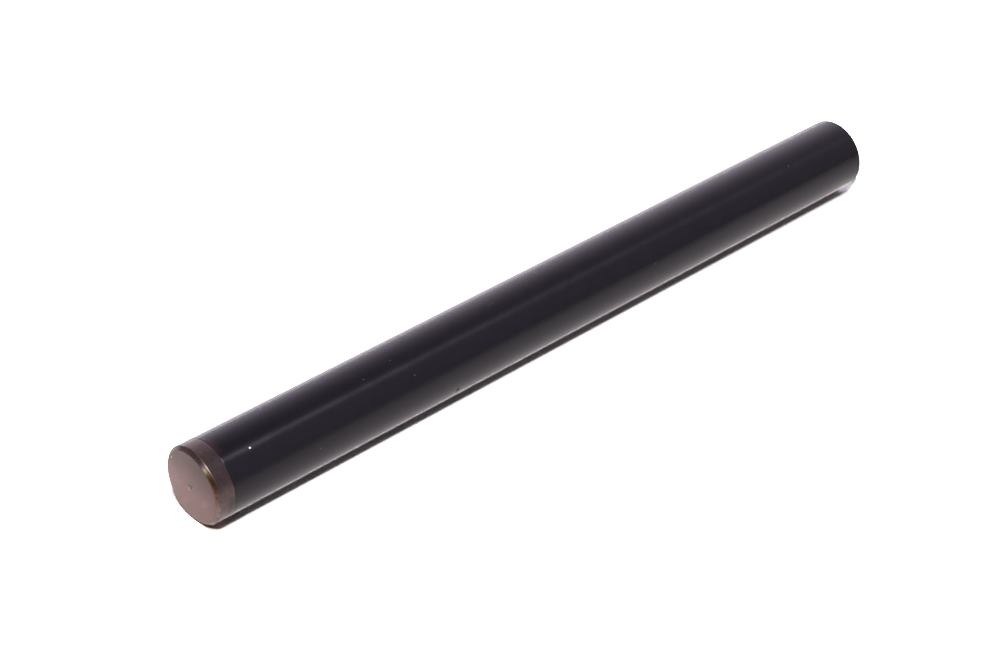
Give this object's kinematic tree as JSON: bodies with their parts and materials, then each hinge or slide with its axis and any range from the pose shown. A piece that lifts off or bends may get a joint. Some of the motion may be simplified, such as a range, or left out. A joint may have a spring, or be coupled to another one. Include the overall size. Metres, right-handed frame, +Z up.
{
  "type": "fuel pump pushrod",
  "caption": "Straight round steel fuel pump pushrod with a black finish, a flat bronze tip pressed into one end and broken edges.",
  "frame": {"origin": "centre of the rod's plain end, on the surface that it stands on", "axes": "+Z up along the rod's axis, from the plain end to the bronze tip; the rod is round, so +X and +Y are free"},
  "size_m": [0.0126, 0.0126, 0.1461],
  "materials": {
    "rod": "ground and black oxided, semi-gloss",
    "tip": "turned bronze, dulled brown"
  },
  "bodies": {
    "root": {"rod_body": "rod", "bronze_tip": "tip"}
  },
  "joints": []
}
